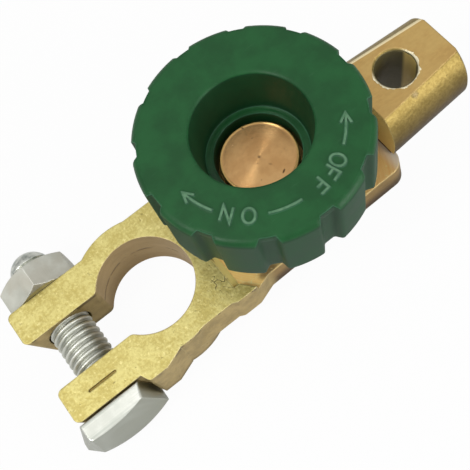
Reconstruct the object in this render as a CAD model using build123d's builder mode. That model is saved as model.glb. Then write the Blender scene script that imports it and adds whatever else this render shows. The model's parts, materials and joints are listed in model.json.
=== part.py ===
from build123d import *
from math import asin, cos, radians, sin, sqrt, tan
import os

os.makedirs("parts", exist_ok=True)

# Battery terminal disconnect switch, in millimetres. The origin is on the axis of the
# battery post's hole, at the underside of the clamp. +X runs along the switch to the
# cable lug, +Y to the nut of the clamp bolt, and +Z up out of the knob.

# Clamp ring and its two ears
post_bore_radius = 8.7
post_bore_chamfer = 0.3
ring_wall = 4.0
clamp_height = 10.5
ear_reach = 22.4
ear_thickness = 6.7
ear_gap = 9.9
ear_gap_shift = -0.6
ear_corner_radius = 1.1
ear_end_lean = 2.2
gap_mouth_radius = 1.4

# Shoulder that stops the bolt's head from turning
shoulder_width = 6.8
shoulder_flat = 3.2
shoulder_proud = 1.75
shoulder_lean = 1.1
shoulder_slant = 0.8
shoulder_corner_radius = 0.8

# Engraved polarity mark, a plain minus sign
mark_length = 5.6
mark_width = 0.5
mark_depth = 0.3

# Base pad that carries the switch
pad_thickness = 5.3
pad_under = 3.7
pad_cheek_half_width = 13.2
pad_cheek_start = 10.4
pad_cheek_end = 13.9
pad_waist_half_width = 12.0
pad_waist_start = 17.4
pad_end_half_width = 11.5
pad_reach = 48.5
pad_draft = 0.5
pad_corner_radius = 2.8
pad_cheek_radius = 1.2
seat_radius = 17.6
seat_ramp_foot = 12.5
seat_ramp_run = 1.2

# Knob
knob_axis_x = 26.8
knob_top = 32.9
knob_height = 12.3
knob_radius = 18.55
rim_width = 0.98
rim_drop = 1.2
rim_fullness = 0.66
face_edge_height = 1.5
knob_rim_edge = 0.5
lobe_count = 12
notch_depth = 1.3
notch_floor_width = 1.9
notch_mouth_width = 4.6
notch_corner_radius = 0.6
cup_radius = 9.5
cup_floor_radius = 8.4
cup_depth = 8.3
cup_wall = 2.2
cup_lip_radius = 0.35
skirt_wall = 2.0
face_thickness = 2.6
rib_count = 6
rib_thickness = 1.6
rib_rise = 1.5
hub_drop = 2.2
hub_wall = 2.4

# Raised marks on the knob's face: ON and OFF, an arc between them and an arrow each way
mark_rise = 0.2
mark_stroke = 0.34
mark_circle = 14.0
letter_half_height = 1.15
letter_half_width = 0.75
arrow_barb_angle = 6.5
arrow_barb_spread = 0.8
on_angles = (-128.6, -142.0)
off_angles = (-63.6, -72.6, -83.0)
between_angles = (-117.0, -96.0)
on_arrow_angles = (-151.0, -173.0)
off_arrow_angles = (-53.0, -32.0)

# Contact stud, turned from brass
stud_head_radius = 6.5
stud_head_sink = 1.4
stud_head_height = 3.3
stud_head_chamfer = 0.25
stud_head_gap = 0.6
stud_flange_radius = 7.4
stud_flange_height = 2.6
stud_shank_radius = 5.0
stud_neck_radius = 4.6
stud_groove_radius = 4.1
stud_tip_chamfer = 0.4
stud_pitch = 1.5
knob_turns = 4 / 3

# Contact ring under the stud's flange
contact_ring_radius = 7.2

# Insulation
insulator_height = 0.5
insulator_margin = 0.4
insulator_setback = 0.9
sleeve_wall = 1.25
bush_wall = 0.6
bush_flange_radius = 2.5
bush_flange_height = 0.8

# Cable lug: a tapered round post lying on its side, milled flat on top
lug_shoulder_x = 47.4
lug_reach = 65.0
lug_root_radius = 9.0
lug_tip_radius = 7.88
lug_axis_rise = 2.2
lug_flat_rise = 6.55
lug_tip_chamfer = 0.3
lug_hole_x = 55.2
lug_hole_radius = 3.6
lug_hole_chamfer = 0.35
tongue_thickness = 4.5
tongue_ring_radius = 9.0
tongue_neck_half_width = 3.8
tongue_eye_radius = 3.0

# Rivets that hold the lug's tongue down on the base
rivet_radius = 1.5
rivet_spacing = 20.6
rivet_head_radius = 2.4
rivet_head_height = 1.3
rivet_tail_height = 1.1
rivet_washer_height = 0.5

# Snap ring at the stud's lower end, the stop of the knob's lift
clip_radius = 6.2
clip_height = 0.7
clip_mouth = 6.4

# Clamp bolt with its long head, and the nut: thread M8 by 1.25
bolt_radius = 4.0
bolt_pitch = 1.25
bolt_setback = 7.35
bolt_tip_y = 21.5
bolt_tip_rise = 3.4
head_height = 10.0
head_top_thickness = 3.6
head_top_arch = 0.9
head_foot_thickness = 4.3
head_foot_arch = 1.3
head_left_top = 6.8
head_left_foot = 10.1
head_right_top = 4.5
head_right_foot = 6.3
head_slant_top = 1.0
head_slant_foot = 0.1
head_cut_top = 0.4
head_cut_foot = 3.0
head_cut_rise = 0.5
head_chamfer = 0.3
nut_width = 13.0
nut_height = 5.3
nut_chamfer_angle = 30.0

# Clearances
running_gap = 0.05
neck_gap = 0.08
loose_gap = 0.3
clip_gap = 0.2
sleeve_gap = 0.35
head_seat_gap = 0.25

# How far a shape runs into its neighbour to join it, and the margin for picking corners by place
join_overlap = 1.0
pick_margin = 0.1

# Levels and places that follow from the sizes above
ring_radius = post_bore_radius + ring_wall
gap_nut_side = ear_gap_shift + ear_gap / 2
gap_head_side = ear_gap_shift - ear_gap / 2
ear_nut_face = gap_nut_side + ear_thickness
ear_head_face = gap_head_side - ear_thickness
bolt_x = bolt_setback - ear_reach
bolt_z = clamp_height / 2
seat_z = pad_under + pad_thickness
tongue_z = seat_z + insulator_height
tongue_top = tongue_z + tongue_thickness
lug_axis_z = tongue_z + lug_axis_rise
lug_top = lug_axis_z + lug_flat_rise
knob_bottom = knob_top - knob_height
face_radius = knob_radius - rim_width
ledge_z = knob_top - cup_depth
stud_top = ledge_z - stud_head_sink
hub_bottom = knob_bottom - hub_drop
stud_flange_z = hub_bottom - stud_flange_height
stud_neck_z = tongue_top - 2 * running_gap
contact_ring_height = stud_flange_z - running_gap - tongue_top
hub_bore_radius = stud_head_radius + stud_head_gap
stud_knurl_radius = hub_bore_radius - running_gap / 2
knob_lift = stud_pitch * knob_turns
clip_z = pad_under - knob_lift - clip_gap - clip_height
stud_tip_z = clip_z - clip_height
sleeve_bore = stud_shank_radius + sleeve_gap
sleeve_radius = sleeve_bore + sleeve_wall
bush_bore = rivet_radius + running_gap
bush_radius = bush_bore + bush_wall
rivet_places = [(knob_axis_x - rivet_spacing / 2, 0), (knob_axis_x + rivet_spacing / 2, 0)]
washer_z = tongue_top + bush_flange_height
rivet_head_z = washer_z + rivet_washer_height
across = Plane.XZ.offset(-bolt_tip_y)


def tongue_outline(margin):
    """Ring round the stud, an eye round each rivet, and the neck to the lug's block."""
    with BuildSketch(mode=Mode.PRIVATE) as outline:
        with Locations((knob_axis_x, 0)):
            Circle(tongue_ring_radius + margin)
        with Locations(*rivet_places):
            Circle(tongue_eye_radius + margin)
        make_hull()
        with Locations((knob_axis_x, 0)):
            Rectangle(
                lug_shoulder_x - knob_axis_x,
                2 * (tongue_neck_half_width + margin),
                align=(Align.MIN, Align.CENTER),
            )
    return outline.sketch


def pad_outline(z, draw_in):
    """The base pad at one height, drawn in all round by its draft."""
    with BuildSketch(Plane.XY.offset(z), mode=Mode.PRIVATE) as outline:
        with BuildLine():
            side_line = Polyline(
                (0, 0),
                (0, ring_radius - draw_in),
                (pad_cheek_start - join_overlap, ring_radius - draw_in),
                (pad_cheek_start, pad_cheek_half_width - draw_in),
                (pad_cheek_end, pad_cheek_half_width - draw_in),
                (pad_waist_start, pad_waist_half_width - draw_in),
                (pad_reach - draw_in, pad_end_half_width - draw_in),
                (pad_reach - draw_in, 0),
            )
            mirror(side_line, about=Plane.XZ)
        make_face()
        fillet(outline.vertices().group_by(Axis.X)[-1], pad_corner_radius)
        cheeks = outline.vertices().filter_by(
            lambda corner: pad_cheek_start - pick_margin < corner.X < pad_waist_start + pick_margin
        )
        fillet(cheeks, pad_cheek_radius)
    return outline.sketch


# Cast brass body: the split ring, its ears and the base pad in one piece
with BuildPart() as clamp_body:
    with BuildSketch() as ring_plan:
        Circle(ring_radius)
        with Locations((-ear_reach, gap_nut_side)):
            Rectangle(ear_reach, ear_thickness, align=(Align.MIN, Align.MIN))
        with Locations((-ear_reach, ear_head_face)):
            Rectangle(ear_reach, ear_thickness, align=(Align.MIN, Align.MIN))
        shoulder_x = bolt_x + head_right_foot + loose_gap
        shoulder_face = ear_head_face - shoulder_proud
        with BuildLine():
            Polyline(
                (shoulder_x - shoulder_lean, ear_head_face + join_overlap),
                (shoulder_x - shoulder_lean, ear_head_face),
                (shoulder_x - shoulder_lean + shoulder_slant, shoulder_face),
                (shoulder_x + shoulder_flat, shoulder_face),
                (shoulder_x + shoulder_width, -ring_radius),
                (shoulder_x + shoulder_width, ear_head_face + join_overlap),
                close=True,
            )
        make_face()
        shoulder_tip = (shoulder_x - shoulder_lean + shoulder_slant, shoulder_face, 0)
        fillet(ring_plan.vertices().sort_by_distance(shoulder_tip)[0], shoulder_corner_radius)
    extrude(amount=clamp_height)
    # the shoulder's side leans back towards the bottom, clear of the head's wider foot
    with BuildSketch(Plane.XZ.offset(-ear_head_face)):
        Polygon(
            (shoulder_x - shoulder_lean, 0),
            (shoulder_x, 0),
            (shoulder_x - shoulder_lean, clamp_height),
            align=None,
        )
    extrude(amount=shoulder_proud, mode=Mode.SUBTRACT)
    # the ears' ends lean in towards the bottom, and have rounded corners
    with BuildSketch(across):
        Polygon(
            (-ear_reach, clamp_height),
            (-ear_reach + ear_end_lean, 0),
            (-ear_reach, 0),
            align=None,
        )
    extrude(amount=2 * bolt_tip_y, mode=Mode.SUBTRACT)
    end_edges = clamp_body.edges().filter_by(
        lambda edge: edge.length > clamp_height and edge.center().X < -ear_reach + ear_end_lean
    )
    fillet(end_edges, ear_corner_radius)
    loft(sections=[pad_outline(pad_under, 0), pad_outline(clamp_height, pad_draft)], ruled=True)
    # the post's hole, and the split between the ears
    with BuildSketch() as post_hole:
        Circle(post_bore_radius)
        with Locations((-ear_reach, gap_head_side)):
            Rectangle(ear_reach, ear_gap, align=(Align.MIN, Align.MIN))
        for side in (gap_nut_side, gap_head_side):
            mouth_x = -sqrt(post_bore_radius**2 - side**2)
            mouth = post_hole.vertices().sort_by_distance((mouth_x, side, 0))[0]
            fillet(mouth, gap_mouth_radius)
    extrude(amount=clamp_height, mode=Mode.SUBTRACT)
    # the pad's top is milled down about the knob's axis, with a ramp on the ring's side
    with BuildSketch(Plane.XY.offset(seat_z)) as seat:
        with Locations((knob_axis_x, 0)):
            Circle(seat_radius)
        with Locations((seat_ramp_foot, 0)):
            Rectangle(
                knob_axis_x + seat_radius, 4 * seat_radius,
                align=(Align.MIN, Align.CENTER), mode=Mode.INTERSECT,
            )
        with Locations((knob_axis_x, 0)):
            Rectangle(pad_reach, 4 * seat_radius, align=(Align.MIN, Align.CENTER))
    extrude(amount=clamp_height, mode=Mode.SUBTRACT)
    seat_corner_y = sqrt(seat_radius**2 - (knob_axis_x - seat_ramp_foot) ** 2)
    with BuildSketch(Plane.XZ.offset(-seat_corner_y)):
        Polygon(
            (seat_ramp_foot, seat_z),
            (seat_ramp_foot, clamp_height),
            (seat_ramp_foot - seat_ramp_run, clamp_height),
            align=None,
        )
    extrude(amount=2 * seat_corner_y, mode=Mode.SUBTRACT)
    with BuildSketch(Plane.XY.offset(seat_z)):
        add(tongue_outline(insulator_margin + loose_gap))
    extrude(amount=clamp_height, mode=Mode.SUBTRACT)
    # holes for the clamp bolt, the stud and the rivets
    with BuildSketch(across):
        with Locations((bolt_x, bolt_z)):
            Circle(bolt_radius + loose_gap)
    extrude(amount=2 * bolt_tip_y, mode=Mode.SUBTRACT)
    with BuildSketch(Plane.XY.offset(pad_under)):
        with Locations((knob_axis_x, 0)):
            Circle(stud_shank_radius + running_gap)
        with Locations(*rivet_places):
            Circle(rivet_radius + running_gap)
    extrude(amount=pad_thickness, mode=Mode.SUBTRACT)
    # polarity mark on the ear beside the bolt's head
    with BuildSketch(Plane.XY.offset(clamp_height)):
        with Locations((bolt_x, (gap_head_side + ear_head_face) / 2)):
            SlotOverall(mark_length, mark_width)
    extrude(amount=-mark_depth, mode=Mode.SUBTRACT)
clamp_body.part.label = "clamp_body"
export_step(clamp_body.part, "parts/clamp_body.step")


# Fibre plate between the base and the lug
with BuildPart() as insulator_plate:
    with BuildSketch(Plane.XY.offset(seat_z)):
        add(tongue_outline(insulator_margin))
        with Locations((lug_shoulder_x, 0)):
            Rectangle(
                pad_reach - lug_shoulder_x, 2 * (lug_root_radius - insulator_setback),
                align=(Align.MIN, Align.CENTER),
            )
        with Locations((knob_axis_x, 0)):
            Circle(sleeve_radius + running_gap, mode=Mode.SUBTRACT)
        with Locations(*rivet_places):
            Circle(bush_radius + running_gap, mode=Mode.SUBTRACT)
    extrude(amount=insulator_height)
insulator_plate.part.label = "insulator_plate"
export_step(insulator_plate.part, "parts/insulator_plate.step")


# Cable lug: the post, and a tongue under the knob, cast in one
with BuildPart() as lug:
    with BuildSketch(Plane.XZ) as post_half:
        with BuildLine():
            Polyline(
                (lug_shoulder_x, lug_axis_z),
                (lug_shoulder_x, lug_axis_z + lug_root_radius),
                (lug_reach - lug_tip_chamfer, lug_axis_z + lug_tip_radius),
                (lug_reach, lug_axis_z + lug_tip_radius - lug_tip_chamfer),
                (lug_reach, lug_axis_z),
                close=True,
            )
        make_face()
    revolve(axis=Axis((0, 0, lug_axis_z), (1, 0, 0)))
    with BuildSketch(Plane.XY.offset(lug_top)):
        with Locations((lug_shoulder_x, 0)):
            Rectangle(lug_reach, 4 * lug_root_radius, align=(Align.MIN, Align.CENTER))
    extrude(amount=lug_root_radius, mode=Mode.SUBTRACT)
    # the post's root is cut away over the end of the pad
    with BuildSketch(Plane.XY.offset(tongue_z)):
        with Locations((lug_shoulder_x, 0)):
            Rectangle(
                pad_reach + loose_gap - lug_shoulder_x, 4 * lug_root_radius,
                align=(Align.MIN, Align.CENTER),
            )
    extrude(amount=-lug_root_radius, mode=Mode.SUBTRACT)
    with BuildSketch(Plane.XY.offset(tongue_z)):
        add(tongue_outline(0))
    extrude(amount=tongue_thickness)
    with BuildSketch(Plane.XY.offset(tongue_z)):
        with Locations((knob_axis_x, 0)):
            Circle(sleeve_radius + running_gap)
        with Locations(*rivet_places):
            Circle(bush_radius + running_gap)
    extrude(amount=tongue_thickness, mode=Mode.SUBTRACT)
    with BuildSketch(Plane.XY.offset(lug_top)):
        with Locations((lug_hole_x, 0)):
            Circle(lug_hole_radius)
    extrude(amount=-2 * lug_root_radius, mode=Mode.SUBTRACT)
    hole_rim = lug.edges().filter_by(GeomType.CIRCLE).group_by(Axis.Z)[-1]
    chamfer(hole_rim, lug_hole_chamfer)
lug.part.label = "lug"
export_step(lug.part, "parts/lug.step")


# Insulating sleeve round the stud, through the lug's tongue and the plate
with BuildPart() as stud_sleeve:
    with BuildSketch(Plane.XY.offset(seat_z)):
        with Locations((knob_axis_x, 0)):
            Circle(sleeve_radius)
            Circle(sleeve_bore, mode=Mode.SUBTRACT)
    extrude(amount=stud_neck_z - loose_gap - seat_z)
stud_sleeve.part.label = "stud_sleeve"
export_step(stud_sleeve.part, "parts/stud_sleeve.step")


def make_rivet(x, y):
    """Rivet from its domed head above the tongue to its upset tail under the pad."""
    tail_z = pad_under - rivet_tail_height
    with BuildPart() as rivet:
        with BuildSketch(Plane.XZ.offset(-y)):
            with BuildLine():
                Polyline(
                    (x, tail_z),
                    (x + rivet_head_radius - rivet_tail_height / 2, tail_z),
                    (x + rivet_head_radius, pad_under),
                    (x + rivet_radius, pad_under),
                    (x + rivet_radius, rivet_head_z),
                    (x + rivet_head_radius, rivet_head_z),
                )
                dome_rise = rivet_head_height
                dome_radius = (rivet_head_radius**2 + dome_rise**2) / (2 * dome_rise)
                half_turn = asin(min(1, rivet_head_radius / dome_radius)) / 2
                ThreePointArc(
                    (x + rivet_head_radius, rivet_head_z),
                    (
                        x + dome_radius * sin(half_turn),
                        rivet_head_z + dome_rise - dome_radius * (1 - cos(half_turn)),
                    ),
                    (x, rivet_head_z + dome_rise),
                )
                Line((x, rivet_head_z + dome_rise), (x, tail_z))
            make_face()
        revolve(axis=Axis((x, y, 0), (0, 0, 1)))
    return rivet.part


def make_bush(x, y):
    """Shouldered insulating bush round a rivet, through the tongue and the plate."""
    with BuildPart() as bush:
        with BuildSketch(Plane.XY.offset(seat_z)):
            with Locations((x, y)):
                Circle(bush_radius)
        extrude(amount=tongue_top - seat_z)
        with BuildSketch(Plane.XY.offset(tongue_top)):
            with Locations((x, y)):
                Circle(bush_flange_radius)
        extrude(amount=bush_flange_height)
        with BuildSketch(Plane.XY.offset(seat_z)):
            with Locations((x, y)):
                Circle(bush_bore)
        extrude(amount=washer_z - seat_z, mode=Mode.SUBTRACT)
    return bush.part


def make_washer(x, y):
    """Flat steel washer between a bush's flange and its rivet's head."""
    with BuildPart() as washer:
        with BuildSketch(Plane.XY.offset(washer_z)):
            with Locations((x, y)):
                Circle(bush_flange_radius)
                Circle(bush_bore, mode=Mode.SUBTRACT)
        extrude(amount=rivet_washer_height)
    return washer.part


for number, (rivet_x, rivet_y) in enumerate(rivet_places, start=1):
    for name, make in (("rivet", make_rivet), ("rivet_bush", make_bush), ("rivet_washer", make_washer)):
        piece = make(rivet_x, rivet_y)
        piece.label = f"{name}_{number}"
        export_step(piece, f"parts/{piece.label}.step")


# Contact ring, loose in the neck under the stud's flange: it rises with the stud but does not turn
with BuildPart() as contact_ring:
    with BuildSketch(Plane.XY.offset(tongue_top)):
        with Locations((knob_axis_x, 0)):
            Circle(contact_ring_radius)
            Circle(stud_neck_radius + neck_gap, mode=Mode.SUBTRACT)
    extrude(amount=contact_ring_height)
contact_ring.part.label = "contact_ring"
export_step(contact_ring.part, "parts/contact_ring.step")


# Contact stud: the disc in the knob's cup, the pressed-in body, the flange and the threaded shank
with BuildPart() as contact_stud:
    with BuildSketch(Plane.XZ):
        with BuildLine():
            Polyline(
                (knob_axis_x, stud_tip_z),
                (knob_axis_x + stud_shank_radius - stud_tip_chamfer, stud_tip_z),
                (knob_axis_x + stud_shank_radius, stud_tip_z + stud_tip_chamfer),
                (knob_axis_x + stud_shank_radius, clip_z),
                (knob_axis_x + stud_groove_radius, clip_z),
                (knob_axis_x + stud_groove_radius, clip_z + clip_height + running_gap),
                (knob_axis_x + stud_shank_radius, clip_z + clip_height + running_gap),
                (knob_axis_x + stud_shank_radius, stud_neck_z),
                (knob_axis_x + stud_neck_radius, stud_neck_z),
                (knob_axis_x + stud_neck_radius, stud_flange_z),
                (knob_axis_x + stud_flange_radius, stud_flange_z),
                (knob_axis_x + stud_flange_radius, hub_bottom),
                (knob_axis_x + stud_knurl_radius, hub_bottom),
                (knob_axis_x + stud_knurl_radius, stud_top - stud_head_height),
                (knob_axis_x + stud_head_radius, stud_top - stud_head_height),
                (knob_axis_x + stud_head_radius, stud_top - stud_head_chamfer),
                (knob_axis_x + stud_head_radius - stud_head_chamfer, stud_top),
                (knob_axis_x, stud_top),
                close=True,
            )
        make_face()
    revolve(axis=Axis((knob_axis_x, 0, 0), (0, 0, 1)))
contact_stud.part.label = "contact_stud"
export_step(contact_stud.part, "parts/contact_stud.step")


# Snap ring in the stud's groove below the pad
with BuildPart() as retaining_clip:
    with BuildSketch(Plane.XY.offset(clip_z)):
        with Locations((knob_axis_x, 0)):
            Circle(clip_radius)
            Circle(stud_groove_radius + running_gap, mode=Mode.SUBTRACT)
            Rectangle(clip_mouth, clip_radius, align=(Align.CENTER, Align.MAX), mode=Mode.SUBTRACT)
    extrude(amount=clip_height)
retaining_clip.part.label = "retaining_clip"
export_step(retaining_clip.part, "parts/retaining_clip.step")


def letter(name):
    """Strokes of one letter, upright about its own centre."""
    left, right = -letter_half_width, letter_half_width
    low, high = -letter_half_height, letter_half_height
    with BuildSketch(mode=Mode.PRIVATE) as glyph:
        if name == "O":
            Ellipse(right + mark_stroke, high + mark_stroke / 2)
            Ellipse(right, high - mark_stroke / 2, mode=Mode.SUBTRACT)
        if name == "N":
            with BuildLine():
                Polyline((left, low), (left, high), (right, low), (right, high))
            trace(line_width=mark_stroke)
        if name == "F":
            with BuildLine():
                Polyline((left, low), (left, high), (right, high))
            trace(line_width=mark_stroke)
            with BuildLine():
                Line((left, 0), (right - mark_stroke, 0))
            trace(line_width=mark_stroke)
    return glyph.sketch


def arc_mark(start, end):
    """Curved stroke of the face's marks about the knob's axis."""
    with BuildSketch(mode=Mode.PRIVATE) as stroke:
        with BuildLine():
            CenterArc((0, 0), mark_circle, start, end - start)
        trace(line_width=mark_stroke)
    return stroke.sketch


def arrow_head(tip, way):
    """Two barbs behind the tip of a curved arrow."""
    back = radians(tip - way * arrow_barb_angle)
    inner, outer = mark_circle - arrow_barb_spread, mark_circle + arrow_barb_spread
    with BuildSketch(mode=Mode.PRIVATE) as barbs:
        with BuildLine():
            Polyline(
                (inner * cos(back), inner * sin(back)),
                (mark_circle * cos(radians(tip)), mark_circle * sin(radians(tip))),
                (outer * cos(back), outer * sin(back)),
            )
        trace(line_width=mark_stroke)
    return barbs.sketch


# Moulded knob: a lobed skirt, a round face with the cup in it, and the hub that holds the stud
notch_floor = knob_radius - notch_depth
skirt_inner = notch_floor - skirt_wall
cup_outer = cup_radius + cup_wall
face_under = knob_top - face_thickness


def on_knob(z):
    """Level plane on the knob's axis."""
    return Plane((knob_axis_x, 0, z))


with BuildPart() as knob:
    with BuildSketch(on_knob(knob_bottom)) as lobes:
        Circle(knob_radius)
        with PolarLocations(0, lobe_count):
            Polygon(
                (notch_floor, -notch_floor_width / 2),
                (knob_radius + knob_rim_edge, -notch_mouth_width / 2),
                (knob_radius + knob_rim_edge, notch_mouth_width / 2),
                (notch_floor, notch_floor_width / 2),
                align=None,
                mode=Mode.SUBTRACT,
            )
        fillet(lobes.vertices(), notch_corner_radius)
    extrude(amount=knob_height)
    with BuildSketch(on_knob(knob_top)):
        Circle(face_radius)
    extrude(amount=-face_edge_height)
    # the top edge rolls over from the lobes to the flat face
    with BuildSketch(Plane.XZ):
        rim_x = knob_axis_x + knob_radius + knob_rim_edge
        with BuildLine():
            Polyline(
                (knob_axis_x + face_radius, knob_top),
                (rim_x, knob_top),
                (rim_x, knob_top - rim_drop),
                (knob_axis_x + knob_radius, knob_top - rim_drop),
            )
            rim_shift = (knob_radius - face_radius) * rim_fullness
            ThreePointArc(
                (knob_axis_x + knob_radius, knob_top - rim_drop),
                (knob_axis_x + face_radius + rim_shift, knob_top - rim_drop * (1 - rim_fullness)),
                (knob_axis_x + face_radius, knob_top),
            )
        make_face()
    revolve(axis=Axis((knob_axis_x, 0, 0), (0, 0, 1)), mode=Mode.SUBTRACT)
    # hollow underside with the hub and its ribs left standing
    with BuildSketch(on_knob(knob_bottom)):
        Circle(skirt_inner)
        Circle(cup_outer, mode=Mode.SUBTRACT)
    extrude(amount=face_under - knob_bottom, mode=Mode.SUBTRACT)
    with BuildSketch(on_knob(knob_bottom + rib_rise)):
        with PolarLocations((cup_outer + skirt_inner) / 2, rib_count):
            Rectangle(skirt_inner - cup_outer + rib_thickness, rib_thickness)
    extrude(amount=face_under - knob_bottom - rib_rise)
    with BuildSketch(on_knob(hub_bottom)):
        Circle(hub_bore_radius + hub_wall)
    extrude(amount=hub_drop)
    # drafted cup, the ledge with its lip, and the stud's bore
    with BuildSketch(on_knob(knob_top)):
        Circle(cup_radius)
    with BuildSketch(on_knob(ledge_z)):
        Circle(cup_floor_radius)
    loft(mode=Mode.SUBTRACT)
    with BuildSketch(on_knob(hub_bottom)):
        Circle(hub_bore_radius)
    extrude(amount=ledge_z - hub_bottom, mode=Mode.SUBTRACT)
    cup_rims = knob.edges().filter_by(GeomType.CIRCLE).group_by(Axis.Z)[-1].sort_by(SortBy.RADIUS)
    fillet(cup_rims[0], cup_lip_radius)
    # raised marks
    with BuildSketch(on_knob(knob_top)):
        for names, angles in (("ON", on_angles), ("OFF", off_angles)):
            for name, angle in zip(names, angles):
                place = Rotation(0, 0, angle) * Pos(mark_circle, 0) * Rotation(0, 0, -90)
                add(place * letter(name))
        add(arc_mark(*between_angles))
        add(arc_mark(*on_arrow_angles))
        add(arrow_head(on_arrow_angles[1], -1))
        add(arc_mark(*off_arrow_angles))
        add(arrow_head(off_arrow_angles[1], 1))
    extrude(amount=mark_rise)
knob.part.label = "knob"
export_step(knob.part, "parts/knob.step")


# Clamp bolt: a long arched head outside the ear, wider at its foot, and a plain shank for the thread
head_y = ear_head_face - head_seat_gap


def head_outline(z, left, right, slant, cut, thickness, arch):
    """The head's outline at one height: flat against the ear, an arc on the outside, and its
    corner cut away at the left."""
    cut_point = (bolt_x - left + cut, head_y - thickness + head_cut_rise)
    right_point = (bolt_x + right - slant, head_y - thickness + arch)
    with BuildSketch(Plane.XY.offset(z), mode=Mode.PRIVATE) as outline:
        with BuildLine():
            Polyline(
                cut_point,
                (bolt_x - left, head_y - thickness + head_cut_rise + cut),
                (bolt_x - left, head_y),
                (bolt_x + right, head_y),
                right_point,
            )
            ThreePointArc(
                right_point,
                (bolt_x + (right - slant - left + cut) / 2, head_y - thickness),
                cut_point,
            )
        make_face()
    return outline.sketch


head_foot = head_outline(
    bolt_z - head_height / 2, head_left_foot, head_right_foot, head_slant_foot, head_cut_foot,
    head_foot_thickness, head_foot_arch,
)
head_top = head_outline(
    bolt_z + head_height / 2, head_left_top, head_right_top, head_slant_top, head_cut_top,
    head_top_thickness, head_top_arch,
)
with BuildPart() as clamp_bolt:
    loft(sections=[head_foot, head_top], ruled=True)
    outer_edges = clamp_bolt.edges().filter_by(lambda edge: edge.center().Y < head_y - head_chamfer)
    chamfer(outer_edges, head_chamfer)
    with BuildSketch(Plane.XY.offset(bolt_z)):
        with BuildLine():
            Polyline(
                (bolt_x, head_y - head_chamfer),
                (bolt_x + bolt_radius, head_y - head_chamfer),
                (bolt_x + bolt_radius, bolt_tip_y - bolt_tip_rise),
            )
            RadiusArc(
                (bolt_x + bolt_radius, bolt_tip_y - bolt_tip_rise),
                (bolt_x, bolt_tip_y),
                -(bolt_radius**2 + bolt_tip_rise**2) / (2 * bolt_tip_rise),
            )
            Line((bolt_x, bolt_tip_y), (bolt_x, head_y - head_chamfer))
        make_face()
    revolve(axis=Axis((bolt_x, 0, bolt_z), (0, 1, 0)))
clamp_bolt.part.label = "clamp_bolt"
export_step(clamp_bolt.part, "parts/clamp_bolt.step")


# Hexagon nut with a corner up, chamfered on both faces
nut_y = ear_nut_face + running_gap
nut_corner = nut_width / 2 / cos(radians(30))
nut_corner_drop = (nut_corner - nut_width / 2) * tan(radians(nut_chamfer_angle))
with BuildPart() as clamp_nut:
    with BuildSketch(Plane((bolt_x, nut_y, bolt_z), x_dir=(0, 0, 1), z_dir=(0, 1, 0))):
        RegularPolygon(nut_corner, 6)
        Circle(bolt_radius + running_gap, mode=Mode.SUBTRACT)
    extrude(amount=nut_height)
    with BuildSketch(Plane.XY.offset(bolt_z)):
        Polygon(
            (bolt_x, nut_y),
            (bolt_x + nut_width / 2, nut_y),
            (bolt_x + nut_corner, nut_y + nut_corner_drop),
            (bolt_x + nut_corner, nut_y + nut_height - nut_corner_drop),
            (bolt_x + nut_width / 2, nut_y + nut_height),
            (bolt_x, nut_y + nut_height),
            align=None,
        )
    revolve(axis=Axis((bolt_x, 0, bolt_z), (0, 1, 0)), mode=Mode.INTERSECT)
clamp_nut.part.label = "clamp_nut"
export_step(clamp_nut.part, "parts/clamp_nut.step")
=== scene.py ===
import json
import math
import bpy
import numpy as np
from mathutils import Matrix, Vector


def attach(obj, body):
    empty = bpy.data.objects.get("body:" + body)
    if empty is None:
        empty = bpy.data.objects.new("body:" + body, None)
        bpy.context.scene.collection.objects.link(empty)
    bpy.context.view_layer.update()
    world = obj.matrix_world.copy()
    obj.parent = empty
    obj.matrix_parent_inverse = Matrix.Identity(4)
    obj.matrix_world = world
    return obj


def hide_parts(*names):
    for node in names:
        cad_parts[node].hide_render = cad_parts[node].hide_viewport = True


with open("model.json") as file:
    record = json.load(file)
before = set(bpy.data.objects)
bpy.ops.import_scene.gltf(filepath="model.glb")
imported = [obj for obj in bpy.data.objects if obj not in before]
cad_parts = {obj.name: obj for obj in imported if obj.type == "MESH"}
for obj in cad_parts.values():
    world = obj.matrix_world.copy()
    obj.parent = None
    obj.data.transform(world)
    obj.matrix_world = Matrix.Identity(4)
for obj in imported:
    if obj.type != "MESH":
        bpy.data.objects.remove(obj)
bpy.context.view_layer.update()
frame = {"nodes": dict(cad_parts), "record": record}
mm = 0.001  # in metres
knobAxis = (26.8 * mm, 0, 0)  # a point of the knob's upright axis
boltAxis = {"x": -15.05, "z": 5.25}  # in millimetres, along Y
print("frame loaded:", len(frame["nodes"]), "nodes")


# node helpers: a socket is linked to an input, and any other value is set on it

def connect(tree, node, inputs):
    for name, value in inputs.items():
        if isinstance(value, bpy.types.NodeSocket):
            tree.links.new(value, node.inputs[name])
        else:
            node.inputs[name].default_value = value


def addNode(tree, kind, inputs=None, **settings):
    node = tree.nodes.new(kind)
    for name, value in settings.items():
        setattr(node, name, value)
    connect(tree, node, inputs or {})
    return node


def maths(tree, operation, a, b=0.0, c=0.0):
    return addNode(tree, "ShaderNodeMath", {0: a, 1: b, 2: c}, operation=operation).outputs[0]


def product(tree, first, *others):
    for other in others:
        first = maths(tree, "MULTIPLY", first, other)
    return first


def weighted(tree, base, *parts):
    # the base plus each value times its weight
    for value, weight in parts:
        base = maths(tree, "MULTIPLY_ADD", value, weight, base)
    return base


def inverse(tree, mask):
    return maths(tree, "SUBTRACT", 1.0, mask)


def vectorMaths(tree, operation, a, b=(0, 0, 0)):
    node = addNode(tree, "ShaderNodeVectorMath", {0: a, 1: b}, operation=operation)
    return node.outputs["Value" if operation in ("LENGTH", "DISTANCE", "DOT_PRODUCT") else "Vector"]


def distanceTo(tree, coords, place):
    return vectorMaths(tree, "DISTANCE", coords, place)


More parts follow.
